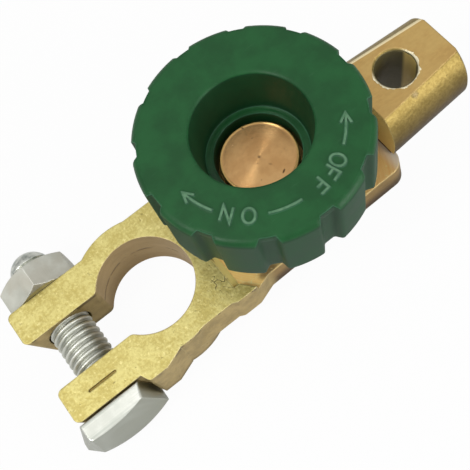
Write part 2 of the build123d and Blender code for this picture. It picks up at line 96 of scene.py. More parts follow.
def axisDistance(tree, coords, place=(0, 0, 0), keep=(1, 1, 0)):
    # distance from a line through a place; keep holds 0 for the line's own direction
    offset = vectorMaths(tree, "SUBTRACT", coords, place)
    return vectorMaths(tree, "LENGTH", vectorMaths(tree, "MULTIPLY", offset, keep))


def separate(tree, vector):
    node = addNode(tree, "ShaderNodeSeparateXYZ", {0: vector})
    return node.outputs[0], node.outputs[1], node.outputs[2]


def facing(tree):
    # the real normal's three parts
    return separate(tree, tree.nodes.new("ShaderNodeNewGeometry").outputs["Normal"])


def ramp(tree, value, low, high, toLow=0.0, toHigh=1.0):
    # from 0 at low to 1 at high with soft ends, or between two other values
    node = addNode(tree, "ShaderNodeMapRange", {"Value": value, "From Min": low, "From Max": high,
                                                "To Min": toLow, "To Max": toHigh},
                   interpolation_type="SMOOTHSTEP")
    return node.outputs["Result"]


def band(tree, value, low, high, soft):
    # 1 between two values, with soft ends
    return product(tree, ramp(tree, value, low - soft, low), ramp(tree, value, high + soft, high))


def noise(tree, vector, scale, detail=2.0, rough=0.5, stretch=None, turn=(0, 0, 0)):
    if stretch:
        mapping = addNode(tree, "ShaderNodeMapping", {"Vector": vector, "Scale": stretch, "Rotation": turn})
        vector = mapping.outputs[0]
    return addNode(tree, "ShaderNodeTexNoise", {"Vector": vector, "Scale": scale, "Detail": detail,
                                                "Roughness": rough}).outputs[0]


def mixColour(tree, factor, a, b):
    return addNode(tree, "ShaderNodeMix", {0: factor, 6: a, 7: b}, data_type="RGBA").outputs[2]


def blotted(tree, mask, colour, other, share=1.0):
    # the colour with another laid over it, by a mask and a share of it
    return mixColour(tree, product(tree, mask, share), colour, other)


def bumped(tree, height, strength, distance, normal):
    return addNode(tree, "ShaderNodeBump", {"Height": height, "Strength": strength, "Distance": distance,
                                            "Normal": normal}).outputs[0]


def srgb(red, green, blue):
    part = [v / 255 for v in (red, green, blue)]
    return (*(v / 12.92 if v <= 0.04045 else ((v + 0.055) / 1.055) ** 2.4 for v in part), 1)


def toneBetween(a, b, share):
    return tuple(u + (v - u) * share for u, v in zip(a, b))


def newMaterial(name):
    material = bpy.data.materials.new(name)
    material.use_nodes = True
    tree = material.node_tree
    tree.nodes.clear()
    out = tree.nodes.new("ShaderNodeOutputMaterial")
    shader = tree.nodes.new("ShaderNodeBsdfPrincipled")
    tree.links.new(shader.outputs[0], out.inputs[0])
    coords = tree.nodes.new("ShaderNodeTexCoord").outputs["Object"]
    return material, tree, shader, coords


def newGroup(name, inputs, outputs):
    tree = bpy.data.node_groups.new(name, "ShaderNodeTree")
    for label, kind in inputs:
        tree.interface.new_socket(label, in_out="INPUT", socket_type="NodeSocket" + kind)
    for label, kind in outputs:
        tree.interface.new_socket(label, in_out="OUTPUT", socket_type="NodeSocket" + kind)
    return tree, tree.nodes.new("NodeGroupInput").outputs, tree.nodes.new("NodeGroupOutput")


def useGroup(tree, group, inputs):
    return addNode(tree, "ShaderNodeGroup", inputs, node_tree=group).outputs


# effects that several finishes share; a noise is given as its scale, detail and roughness, then its
# stretch and turn where the scale is 1, and a range as the two values that come out as 0 and 1, or as
# its third and fourth where it has them

effects = {
    "soft": (520, 3, 0.55), "cloud": (170, 3, 0.55), "pit": (1100, 2, 0.5), "pitRange": (0.3, 0.22),
    "fine": (3, 0.6),  # each finish gives its own scale for this one
    # what each adds to the skin's height and to its tone
    "fineHeight": 0.45, "softHeight": 0.75, "pitHeight": -0.35,
    "fineTone": 0.45, "softTone": 0.3, "cloudTone": 0.25,
    "ringNoise": (1, 3, 0.6), "leanRange": (0.99, 0.8), "bevelSamples": 4,
}
evenBlots = (0.35, 0.65)  # gives as much of one tone as of the other


def makeCastSkin():
    # cast and tumbled skin: clouds of tone, fine grains and a few small pits
    tree, given, made = newGroup("castSkin", [("Vector", "Vector"), ("Grain", "Float")],
                                 [("Height", "Float"), ("Tone", "Float"), ("Pits", "Float")])
    vector = given["Vector"]
    fine = noise(tree, vector, given["Grain"], *effects["fine"])
    soft = noise(tree, vector, *effects["soft"])
    cloud = noise(tree, vector, *effects["cloud"])
    pits = ramp(tree, noise(tree, vector, *effects["pit"]), *effects["pitRange"])
    height = weighted(tree, 0.0, (soft, effects["softHeight"]), (fine, effects["fineHeight"]),
                      (pits, effects["pitHeight"]))
    tone = weighted(tree, 0.0, (fine, effects["fineTone"]), (soft, effects["softTone"]),
                    (cloud, effects["cloudTone"]))
    connect(tree, made, {"Height": height, "Tone": tone, "Pits": pits})
    return tree


def makeToolRings():
    # cutter marks on circles about a centre: noise read along the distance from it
    tree, given, made = newGroup("toolRings",
                                 [("Vector", "Vector"), ("Centre", "Vector"), ("Pitch", "Float")],
                                 [("Height", "Float"), ("Distance", "Float")])
    distance = axisDistance(tree, given["Vector"], given["Centre"])
    along = addNode(tree, "ShaderNodeCombineXYZ", {0: product(tree, distance, given["Pitch"])}).outputs[0]
    connect(tree, made, {"Height": noise(tree, along, *effects["ringNoise"]), "Distance": distance})
    return tree


def makeEdgeMask():
    # 1 on outer edges: how far a rounded normal leans away from the real one
    tree, given, made = newGroup("edgeMask", [("Radius", "Float")], [("Mask", "Float"), ("Normal", "Vector")])
    rounded = addNode(tree, "ShaderNodeBevel", {"Radius": given["Radius"]},
                      samples=effects["bevelSamples"]).outputs[0]
    real = tree.nodes.new("ShaderNodeNewGeometry").outputs["Normal"]
    lean = vectorMaths(tree, "DOT_PRODUCT", rounded, real)
    connect(tree, made, {"Mask": ramp(tree, lean, *effects["leanRange"]), "Normal": rounded})
    return tree


castSkin = makeCastSkin()
toolRings = makeToolRings()
edgeMask = makeEdgeMask()
print("shared effects made")


# cast brass of the clamp

castBrown = srgb(104, 86, 46)
sootAndShadow = srgb(66, 52, 34)
cast = {
    "light": srgb(220, 208, 136), "dark": srgb(196, 180, 106), "toneRange": (0.41, 0.59),
    "side": srgb(190, 168, 114), "slope": srgb(250, 236, 150),
    "bore": srgb(202, 178, 132), "boreDark": srgb(154, 128, 84),
    # the seat's tones are lighter than the milled brass: painted light where the knob shades it
    "seatLight": srgb(252, 222, 142), "seatDark": srgb(248, 198, 112),
    "padFoot": srgb(86, 66, 42), "padWall": srgb(168, 138, 84),
    # tones laid over those, each with its share
    "fleck": (srgb(244, 232, 164), 0.6), "edge": (srgb(244, 232, 178), 0.9), "pits": (castBrown, 0.4),
    "foot": (castBrown, 0.55), "seam": (sootAndShadow, 0.5), "ridge": (sootAndShadow, 0.45), "flaws": (sootAndShadow, 0.7),
    "padEdge": (srgb(250, 222, 150), 0.7), "padBlotch": (castBrown, 0.3), "scribe": (srgb(128, 104, 46), 0.8),
    # the seat's pale end is a painted reflection, and the dark patch by the slope a painted shadow of the
    # knob
    "seatWarm": (srgb(230, 172, 100), 0.5), "seatEnd": (srgb(252, 240, 222), 0.85), "seatShadow": (sootAndShadow, 0.8),
    "sideBrown": 0.34, "boreBrown": 0.4, "boreStreak": 0.6, "boreFoot": 0.6,
    # the post's hole, the seat and where the normal's Z makes a face the top or the slope
    "boreRange": (8.82 * mm, 8.75 * mm), "seatBand": (8.95 * mm, 9.05 * mm, 0.02 * mm),
    "upRange": (0.35, 0.6), "slopeRange": (0.85, 0.75),
    # where the walls' tones and the paler edges, partly wear and partly painted highlight, come in along Z,
    # and where the pad begins along X
    "footRange": (1.6 * mm, 0.0), "edgeRange": (9.6 * mm, 10.2 * mm), "boreFootRange": (6 * mm, 0.0),
    "padStart": (17 * mm, 19 * mm), "padTop": (9.4 * mm, 9 * mm), "padFootRange": (4.2 * mm, 7.6 * mm),
    "padEdgeRange": (8.3 * mm, 8.8 * mm), "blotchNoise": (320, 4, 0.65),
    "seamNoise": (1, 2, 0.5, (330, 330, 60)), "seamRange": (0.5, 0.6),
    "seamBand": (9.6 * mm, 10.1 * mm, 0.2 * mm),
    "streakNoise": (1, 4, 0.62, (150, 150, 520)), "streakRange": (0.3, 0.7),
    # the parting ridge: its lowest level, how far it wanders up, its width and where it is broken
    "ridgeLevel": 4.85 * mm, "ridgeWander": 0.9 * mm, "ridgeNoise": (260, 2),
    "ridgeWidth": (0.42 * mm, 0.05 * mm),
    "brokenNoise": (420, 2), "brokenRange": (0.42, 0.56),
    # the seat along X, and the painted shadow of the knob's edge on it
    "warmRange": (33 * mm, 42 * mm), "endRange": (45.2 * mm, 47.6 * mm), "ringPitch": 2600,
    "shadowPlace": (18.2 * mm, -11 * mm, 9 * mm), "shadowReach": (4.3 * mm, 2 * mm), "shadowRagged": 2.4 * mm,
    "shadowNoise": (700, 3),
    # the scribed minus mark
    "markPlace": (-15.05 * mm, -8.9 * mm, 10.5 * mm), "markReach": (3.6 * mm, 3.2 * mm),
    "markWidth": (0.5 * mm, 0.4 * mm), "markDepth": (10.45 * mm, 10.35 * mm),
    # the patch of small cracks beside the slope, and the nicks along the top edge
    "crackPlace": (10.2 * mm, -7.9 * mm, 10.5 * mm), "crackReach": (1.9 * mm, 0.76 * mm),
    "crackNoise": (820, 1), "crackWidth": (0.034, 0.012),
    "nickNoise": (1, 1, 0.5, (700, 120, 120)), "nickRange": (0.62, 0.66),
    "nickBand": (10.15 * mm, 10.4 * mm, 0.1 * mm),
    "fleckNoise": (1500, 3, 0.6), "fleckRange": (0.58, 0.7),
    "wearAndHighlightNoise": (900, 2), "wearAndHighlightRange": (0.35, 0.6, 0.15, 1.0),
    "metallic": 0.85, "metallicMilled": 0.1, "rough": 0.38, "roughTone": 0.2,
    "grain": 1900, "ringHeight": 0.3, "flawDepth": -0.8, "bump": 0.1 * mm, "bevel": 0.35 * mm,
}


def castWalls(tree, coords, x, z):
    # the walls carry painted shade: browner than the top and darkest at the foot; they are blotched,
    # with traces of a seam near the top; the pad's low wall has a painted highlight along its top and
    # painted shade at its foot
    blotch = ramp(tree, noise(tree, coords, *cast["blotchNoise"]), *evenBlots)
    side = mixColour(tree, blotch, toneBetween(cast["side"], castBrown, cast["sideBrown"]), cast["side"])
    side = blotted(tree, ramp(tree, z, *cast["footRange"]), side, *cast["foot"])
    seam = ramp(tree, noise(tree, coords, *cast["seamNoise"]), *cast["seamRange"])
    side = blotted(tree, product(tree, seam, band(tree, z, *cast["seamBand"])), side, *cast["seam"])
    lowWall = product(tree, ramp(tree, x, *cast["padStart"]), ramp(tree, z, *cast["padTop"]))
    low = mixColour(tree, ramp(tree, z, *cast["padFootRange"]), cast["padFoot"], cast["padWall"])
    low = blotted(tree, ramp(tree, z, *cast["padEdgeRange"]), low, *cast["padEdge"])
    low = blotted(tree, blotch, low, *cast["padBlotch"])
    return mixColour(tree, lowWall, side, low)


def castBore(tree, coords, z):
    # soft streaks round the hole for the post; its browner tone is partly the reamed surface and partly
    # painted shade, and the darkening towards its foot is painted shade
    streak = ramp(tree, noise(tree, coords, *cast["streakNoise"]), *cast["streakRange"])
    tone = toneBetween(cast["bore"], cast["boreDark"], cast["boreBrown"])
    tone = blotted(tree, streak, tone, cast["bore"], cast["boreStreak"])
    return blotted(tree, ramp(tree, z, *cast["boreFootRange"]), tone, cast["boreDark"], cast["boreFoot"])


def castRidge(tree, coords, z, bore):
    # a faint broken parting ridge that wanders about the hole's mid height
    line = weighted(tree, cast["ridgeLevel"], (noise(tree, coords, *cast["ridgeNoise"]), cast["ridgeWander"]))
    offLine = maths(tree, "ABSOLUTE", maths(tree, "SUBTRACT", z, line))
    broken = ramp(tree, noise(tree, coords, *cast["brokenNoise"]), *cast["brokenRange"])
    return product(tree, ramp(tree, offLine, *cast["ridgeWidth"]), bore, broken)


def castSeat(tree, coords, x, rings):
    # the milled seat: cutter rings in tones painted light against the knob's shade, warmer towards the lug,
    # with a painted reflection at its pale end and a painted shadow of the knob by the slope
    tone = mixColour(tree, ramp(tree, rings["Height"], *evenBlots), cast["seatDark"], cast["seatLight"])
    tone = blotted(tree, ramp(tree, x, *cast["warmRange"]), tone, *cast["seatWarm"])
    tone = blotted(tree, ramp(tree, x, *cast["endRange"]), tone, *cast["seatEnd"])
    far = weighted(tree, distanceTo(tree, coords, cast["shadowPlace"]),
                   (noise(tree, coords, *cast["shadowNoise"]), cast["shadowRagged"]))
    return blotted(tree, ramp(tree, far, *cast["shadowReach"]), tone, *cast["seatShadow"])


def castFlaws(tree, coords, z, bore):
    # a patch of small cracks, where a noise crosses its middle value, and nicks along the top edge
    web = maths(tree, "SUBTRACT", noise(tree, coords, *cast["crackNoise"]), 0.5)
    cracks = product(tree, ramp(tree, maths(tree, "ABSOLUTE", web), *cast["crackWidth"]),
                     ramp(tree, distanceTo(tree, coords, cast["crackPlace"]), *cast["crackReach"]))
    nicks = product(tree, ramp(tree, noise(tree, coords, *cast["nickNoise"]), *cast["nickRange"]),
                    band(tree, z, *cast["nickBand"]), inverse(tree, bore))
    return maths(tree, "MAXIMUM", cracks, nicks)


def makeCastBrass():
    material, tree, shader, coords = newMaterial("castBrass")
    x, y, z = separate(tree, coords)
    normalZ = facing(tree)[2]
    skin = useGroup(tree, castSkin, {"Vector": coords, "Grain": cast["grain"]})
    rings = useGroup(tree, toolRings, {"Vector": coords, "Centre": knobAxis, "Pitch": cast["ringPitch"]})
    edges = useGroup(tree, edgeMask, {"Radius": cast["bevel"]})
    up = ramp(tree, normalZ, *cast["upRange"])
    slope = product(tree, up, ramp(tree, normalZ, *cast["slopeRange"]))
    seat = product(tree, band(tree, z, *cast["seatBand"]), up)
    bore = ramp(tree, axisDistance(tree, coords), *cast["boreRange"])
    ridge = castRidge(tree, coords, z, bore)
    flaws = castFlaws(tree, coords, z, bore)
    colour = mixColour(tree, ramp(tree, skin["Tone"], *cast["toneRange"]), cast["dark"], cast["light"])
    # the walls' tones, with their painted shade, wherever a face is not the top
    colour = mixColour(tree, up, castWalls(tree, coords, x, z), colour)
    colour = mixColour(tree, bore, colour, castBore(tree, coords, z))
    colour = blotted(tree, ridge, colour, *cast["ridge"])
    colour = mixColour(tree, seat, colour, castSeat(tree, coords, x, rings))
    # the slope is painted bright: painted light on the face that looks towards the light from the right
    colour = mixColour(tree, slope, colour, cast["slope"])
    colour = blotted(tree, skin["Pits"], colour, *cast["pits"])
    # painted glints: pale flecks on the faces that look up
    fleck = ramp(tree, noise(tree, coords, *cast["fleckNoise"]), *cast["fleckRange"])
    colour = blotted(tree, product(tree, fleck, up), colour, *cast["fleck"])
    # raggedly paler edges, partly wear and partly painted highlight, but none at the mark, whose floor
    # is darkened instead
    ragged = product(tree, ramp(tree, noise(tree, coords, *cast["wearAndHighlightNoise"]), *cast["wearAndHighlightRange"]),
                     ramp(tree, z, *cast["edgeRange"], 0.5, 1.0))
    marked = ramp(tree, distanceTo(tree, coords, cast["markPlace"]), *cast["markReach"])
    colour = blotted(tree, product(tree, edges["Mask"], ragged, inverse(tree, marked)), colour, *cast["edge"])
    beside = maths(tree, "ABSOLUTE", maths(tree, "SUBTRACT", y, cast["markPlace"][1]))
    scribed = product(tree, marked, ramp(tree, z, *cast["markDepth"]), ramp(tree, beside, *cast["markWidth"]))
    colour = blotted(tree, scribed, colour, *cast["scribe"])
    colour = blotted(tree, flaws, colour, *cast["flaws"])
    # the milled faces under the knob are duller than the tumbled skin
    milled = maths(tree, "MAXIMUM", seat, slope)
    height = weighted(tree, product(tree, skin["Height"], inverse(tree, seat)),
                      (product(tree, rings["Height"], seat), cast["ringHeight"]),
                      (maths(tree, "MAXIMUM", ridge, flaws), cast["flawDepth"]))
    connect(tree, shader, {
        "Base Color": colour,
        "Metallic": weighted(tree, cast["metallic"], (milled, cast["metallicMilled"] - cast["metallic"])),
        "Roughness": weighted(tree, cast["rough"], (skin["Tone"], cast["roughTone"])),
        "Normal": bumped(tree, height, 1.0, cast["bump"], edges["Normal"])})
    return material


# brass of the lug: cast and tumbled, with a milled flat on top

lug = {
    "light": srgb(164, 143, 84), "dark": srgb(136, 116, 62), "toneRange": (0.38, 0.62),
    "millLight": srgb(194, 160, 98), "millDark": srgb(184, 150, 92), "millRange": (0.3, 0.7),
    "hole": srgb(112, 104, 66), "root": srgb(250, 218, 132),
    # tones laid over those, each with its share
    "foot": (srgb(74, 56, 28), 0.9), "underside": (srgb(84, 66, 40), 0.6), "edge": (srgb(232, 212, 150), 0.5),
    "mottle": (srgb(204, 176, 112), 0.4), "burrAndGlint": (srgb(255, 246, 214), 0.95),
    "farHighlight": (srgb(255, 242, 200), 0.8), "dent": (srgb(136, 122, 98), 0.95),
    # the flat, the tones along Z, and where the normal makes a face the top, the underside or the root
    "flatRange": (18.12 * mm, 18.2 * mm), "footRange": (17.6 * mm, 10 * mm),
    "upRange": (0.6, 0.9), "downRange": (0.1, -0.4), "rootRange": (-0.85, -0.95),
    "millNoise": (1, 4, 0.65, (900, 2400, 900)), "mottleNoise": (210, 3, 0.6), "mottleRange": (0.4, 0.65),
    # the hole and its burr: how far out it reaches at the least and how raggedly, its soft rim, its
    # level, and where it fades along Y
    "holePlace": (55.2 * mm, 0, 0), "holeRange": (3.75 * mm, 3.65 * mm),
    "burrLeast": 3.4 * mm, "burrNoise": (700, 3, 0.6), "burrRagged": 1.4 * mm, "burrSoft": 0.08 * mm,
    "burrLevel": (17.7 * mm, 17.9 * mm), "burrFade": (2.6 * mm, 0.4 * mm),
    # the flat's far long edge: one point of it in the plan and its slope
    "edgeX": 47.4 * mm, "edgeY": 6.17 * mm, "edgeSlope": -0.1017,
    "edgeWidth": (-0.36 * mm, -0.2 * mm), "edgeLevel": (17.9 * mm, 18.1 * mm),
    # a dent beside the crease
    "dentPlace": (54.3 * mm, -6.1 * mm, 18.2 * mm), "dentReach": (1.4 * mm, 0.3 * mm),
    "dentNoise": (700, 2), "dentRagged": 0.9 * mm,
    "metallic": 0.92, "metallicDull": 0.17, "rough": 0.44, "grain": 1900, "grainHeight": (0.8, 0.1),
    "millHeight": 0.15, "burrHeight": 0.5, "dentDepth": -1.2, "bump": 0.13 * mm, "bevel": 0.4 * mm,
}


def lugBurrAndHighlights(tree, coords, x, y, z, inside, reach):
    # the drill left a thin raised burr round the hole's mouth, painted near-white as a highlight, and a
    # painted highlight runs along the far long edge of the flat
    ripple = weighted(tree, lug["burrLeast"], (noise(tree, coords, *lug["burrNoise"]), lug["burrRagged"]))
    mouth = ramp(tree, reach, ripple, maths(tree, "SUBTRACT", ripple, lug["burrSoft"]))
    burrAndGlint = product(tree, ramp(tree, z, *lug["burrLevel"]), ramp(tree, y, *lug["burrFade"]),
                   maths(tree, "SUBTRACT", mouth, inside))
    edgeY = weighted(tree, lug["edgeY"] - lug["edgeSlope"] * lug["edgeX"], (x, lug["edgeSlope"]))
    farHighlight = product(tree, ramp(tree, maths(tree, "SUBTRACT", y, edgeY), *lug["edgeWidth"]),
                      ramp(tree, z, *lug["edgeLevel"]))
    return burrAndGlint, farHighlight


def makeLugBrass():
    material, tree, shader, coords = newMaterial("lugBrass")
    x, y, z = separate(tree, coords)
    normal = facing(tree)
    skin = useGroup(tree, castSkin, {"Vector": coords, "Grain": lug["grain"]})
    edges = useGroup(tree, edgeMask, {"Radius": lug["bevel"]})
    top = product(tree, ramp(tree, z, *lug["flatRange"]), ramp(tree, normal[2], *lug["upRange"]))
    # painted shade: brightest beside the milled top, brown towards the underside
    colour = mixColour(tree, ramp(tree, skin["Tone"], *lug["toneRange"]), lug["dark"], lug["light"])
    colour = blotted(tree, ramp(tree, z, *lug["footRange"]), colour, *lug["foot"])
    mill = noise(tree, coords, *lug["millNoise"])
    milled = mixColour(tree, ramp(tree, mill, *lug["millRange"]), lug["millDark"], lug["millLight"])
    mottle = ramp(tree, noise(tree, coords, *lug["mottleNoise"]), *lug["mottleRange"])
    colour = mixColour(tree, top, colour, blotted(tree, mottle, milled, *lug["mottle"]))
    reach = axisDistance(tree, coords, lug["holePlace"])
    inside = ramp(tree, reach, *lug["holeRange"])
    # painted shade: the hole's wall is painted dark
    colour = mixColour(tree, inside, colour, lug["hole"])
    burrAndGlint, farHighlight = lugBurrAndHighlights(tree, coords, x, y, z, inside, reach)
    colour = blotted(tree, burrAndGlint, colour, *lug["burrAndGlint"])
    dent = weighted(tree, distanceTo(tree, coords, lug["dentPlace"]),
                    (noise(tree, coords, *lug["dentNoise"]), lug["dentRagged"]))
    dent = ramp(tree, dent, *lug["dentReach"])
    colour = blotted(tree, dent, colour, *lug["dent"])
    colour = blotted(tree, farHighlight, colour, *lug["farHighlight"])
    # painted shade on the faces that look down
    colour = blotted(tree, ramp(tree, normal[2], *lug["downRange"]), colour, *lug["underside"])
    # painted highlight along the edges
    colour = blotted(tree, edges["Mask"], colour, *lug["edge"])
    # the root's flat end is painted bright: painted light on a face in the knob's shade
    root = ramp(tree, normal[0], *lug["rootRange"])
    colour = mixColour(tree, root, colour, lug["root"])
    dull = maths(tree, "MAXIMUM", root, inside)
    skinHeight, flatHeight = lug["grainHeight"]
    grain = product(tree, skin["Height"], weighted(tree, skinHeight, (top, flatHeight - skinHeight)))
    height = weighted(tree, grain, (product(tree, mill, top), lug["millHeight"]), (burrAndGlint, lug["burrHeight"]),
                      (dent, lug["dentDepth"]))
    connect(tree, shader, {
        "Base Color": colour, "Roughness": lug["rough"],
        "Metallic": weighted(tree, lug["metallic"], (dull, lug["metallicDull"] - lug["metallic"])),
        "Normal": bumped(tree, height, 1.0, lug["bump"], edges["Normal"])})
    return material


# turned brass of the stud, whose disc shows in the knob's cup

disc = {
    "light": srgb(198, 158, 106), "dark": srgb(184, 142, 92), "cloudNoise": (300, 4, 0.6),
    "speck": srgb(90, 60, 34), "speckNoise": (1100, 1), "speckRange": (0.24, 0.2),
    "centre": (srgb(90, 66, 40), 0.6), "centreReach": (0.35 * mm, 0.1 * mm),
    "lip": (srgb(222, 190, 112), 0.6), "lipRange": (5.85 * mm, 6.35 * mm), "lipRise": 0.16 * mm,
    # the tool's nicks: place, half length and half width, turn in the plane, and share of the tone
    "nicks": (((28.23 * mm, -4.53 * mm, 0), (0.5 * mm, 0.19 * mm, 1), 0.54, 0.9),
              ((27.38 * mm, -2.15 * mm, 0), (0.4 * mm, 0.2 * mm, 1), -0.9, 0.3)),
    "nick": srgb(70, 44, 24), "nickRange": (1.0, 0.5), "ringPitch": 5200,
    "rough": 0.2, "roughCloud": 0.1, "anisotropic": 0.92, "bump": 0.02 * mm, "bevel": 0.7 * mm,
}


def makeTurnedBrass():
    material, tree, shader, coords = newMaterial("turnedBrass")
    rings = useGroup(tree, toolRings, {"Vector": coords, "Centre": knobAxis, "Pitch": disc["ringPitch"]})
    edges = useGroup(tree, edgeMask, {"Radius": disc["bevel"]})
    cloud = noise(tree, coords, *disc["cloudNoise"])
    speck = ramp(tree, noise(tree, coords, *disc["speckNoise"]), *disc["speckRange"])
    colour = mixColour(tree, ramp(tree, cloud, *evenBlots), disc["dark"], disc["light"])
    colour = mixColour(tree, speck, colour, disc["speck"])
    for place, size, turn, share in disc["nicks"]:
        local = addNode(tree, "ShaderNodeMapping", {"Vector": coords, "Location": place,
                                                    "Rotation": (0, 0, turn), "Scale": size},
                        vector_type="TEXTURE").outputs[0]
        nick = ramp(tree, axisDistance(tree, local), *disc["nickRange"])
        colour = blotted(tree, nick, colour, disc["nick"], share)
    colour = blotted(tree, ramp(tree, rings["Distance"], *disc["centreReach"]), colour, *disc["centre"])
    # the facing cut left a low lip just inside the disc's edge, painted paler as a highlight
    lip = ramp(tree, rings["Distance"], *disc["lipRange"])
    colour = blotted(tree, lip, colour, *disc["lip"])
    turned = bumped(tree, rings["Height"], 1.0, disc["bump"], edges["Normal"])
    # fine turning grooves spread the light along the radius
    spoke = vectorMaths(tree, "MULTIPLY", vectorMaths(tree, "SUBTRACT", coords, knobAxis), (1, 1, 0))
    spoke = addNode(tree, "ShaderNodeVectorTransform", {"Vector": spoke}, vector_type="VECTOR",
                    convert_from="OBJECT", convert_to="WORLD").outputs[0]
    connect(tree, shader, {
        "Base Color": colour, "Metallic": 1.0, "Anisotropic": disc["anisotropic"],
        "Roughness": weighted(tree, disc["rough"], (cloud, disc["roughCloud"])),
        "Normal": bumped(tree, lip, 1.0, disc["lipRise"], turned),
        "Tangent": vectorMaths(tree, "NORMALIZE", spoke)})
    return material


# green moulded plastic of the knob

plastic = {
    "light": srgb(25, 90, 43), "dark": srgb(16, 77, 34), "cloudNoise": (180, 4, 0.6),
    "scuff": (srgb(70, 118, 82), 0.15), "scuffNoise": (1, 2, 0.5, (300, 2200, 300), (0, 0, 0.6)),
    "scuffRange": (0.66, 0.78), "edge": (srgb(112, 172, 140), 0.5),
    "flank": (srgb(8, 42, 26), 0.6), "flankRange": (0.5, 0.2),
    # the raised words and arrows are all that stands above the level, and they are painted pale: partly
    # rubbed, partly a painted highlight where they catch the light
    "marks": srgb(116, 160, 124), "markLevel": (32.98 * mm, 33.04 * mm),
    "rubAndLightNoise": (900, 2), "rubAndLightRange": (0.3, 0.6, 0.35, 0.8),
    "specular": 0.3, "rough": 0.28, "roughCloud": 0.15, "roughFlank": 0.2,
    "fineNoise": (2600, 2), "cloudHeight": 0.7, "fineHeight": 0.3, "bumpStrength": 0.6, "bump": 0.06 * mm,
    "edgeLightBevel": 0.4 * mm, "softBevel": 0.9 * mm,
}


def makeGreenPlastic():
    material, tree, shader, coords = newMaterial("greenPlastic")
    edges = useGroup(tree, edgeMask, {"Radius": plastic["edgeLightBevel"]})
    soft = useGroup(tree, edgeMask, {"Radius": plastic["softBevel"]})
    flank = ramp(tree, maths(tree, "ABSOLUTE", facing(tree)[2]), *plastic["flankRange"])
    cloud = noise(tree, coords, *plastic["cloudNoise"])
    scuff = ramp(tree, noise(tree, coords, *plastic["scuffNoise"]), *plastic["scuffRange"])
    colour = mixColour(tree, ramp(tree, cloud, *evenBlots), plastic["dark"], plastic["light"])
    colour = blotted(tree, scuff, colour, *plastic["scuff"])
    # painted reflection along the knob's edges
    colour = blotted(tree, edges["Mask"], colour, *plastic["edge"])
    # painted shade on the knob's sides
    colour = blotted(tree, flank, colour, *plastic["flank"])
    rubbedAndLit = ramp(tree, noise(tree, coords, *plastic["rubAndLightNoise"]), *plastic["rubAndLightRange"])
    marks = ramp(tree, separate(tree, coords)[2], *plastic["markLevel"])
    colour = mixColour(tree, product(tree, marks, rubbedAndLit), colour, plastic["marks"])
    height = weighted(tree, 0.0, (cloud, plastic["cloudHeight"]),
                      (noise(tree, coords, *plastic["fineNoise"]), plastic["fineHeight"]))
    rough = weighted(tree, plastic["rough"], (cloud, plastic["roughCloud"]), (flank, plastic["roughFlank"]))
    connect(tree, shader, {
        "Base Color": colour, "Specular IOR Level": plastic["specular"], "Roughness": rough,
        "Normal": bumped(tree, height, plastic["bumpStrength"], plastic["bump"], soft["Normal"])})
    return material


# steels: zinc plate of the bolt and nut, the rivets and washers, and the snap ring

steels = {
    "zincSteel": {"light": srgb(230, 231, 222), "dark": srgb(208, 210, 200), "rough": 0.28,
                  "bump": 0.02 * mm, "wearAndLightShare": 0.8},
    "rivetSteel": {"light": srgb(176, 176, 170), "dark": srgb(150, 150, 146), "rough": 0.34,
                   "bump": 0.03 * mm, "wearAndLightShare": 0.0},
    "springSteel": {"light": srgb(120, 120, 120), "dark": srgb(92, 92, 94), "rough": 0.35,
                    "bump": 0.03 * mm, "wearAndLightShare": 0.0},
}
wearAndLight = {
    # tones on the bolt and the nut, each with its share
    "flank": (srgb(146, 149, 135), 1.0), "valley": (srgb(128, 130, 116), 0.7), "gap": (srgb(84, 72, 52), 0.9),
    "drawn": (srgb(182, 186, 176), 0.9), "smear": (srgb(196, 188, 172), 0.6),
    "nut": (srgb(184, 182, 164), 0.4), "mottle": (srgb(120, 134, 128), 0.7),
    "edge": (srgb(246, 247, 242), 0.4),
    # where each lies along the bolt, how far from its axis the thread's painted shade reaches, and where
    # the normal makes a face the head's flank or a face of the nut that looks to the ear
    "headRange": (-12.3 * mm, -12.5 * mm), "shankBand": (-12 * mm, 17.8 * mm, 0.2 * mm),
    "gapBand": (11 * mm, 12.6 * mm, 0.2 * mm), "nutBand": (11 * mm, 16.5 * mm, 0.1 * mm),
    "tipRange": (17.8 * mm, 18.1 * mm), "valleyRange": (3.9 * mm, 3.45 * mm),
    "flankRange": (0.5, 0.3), "gapRange": (-0.2, -0.4),
    "cloudNoise": (220, 4, 0.6), "brushNoise": (1, 3, 0.6, (2600, 300, 2600)),
    "drawnNoise": (1, 2, 0.5, (40, 1100, 40)), "drawnRange": (0.5, 0.68),
    "smearNoise": (260, 3, 0.6), "mottleNoise": (620, 3, 0.6), "mottleRange": (0.45, 0.62),
    # the thread is dull and the tip is polished
    "roughShank": 0.16, "roughTip": -0.14, "roughCloud": 0.14, "bumpStrength": 0.7, "bevel": 0.25 * mm,
}


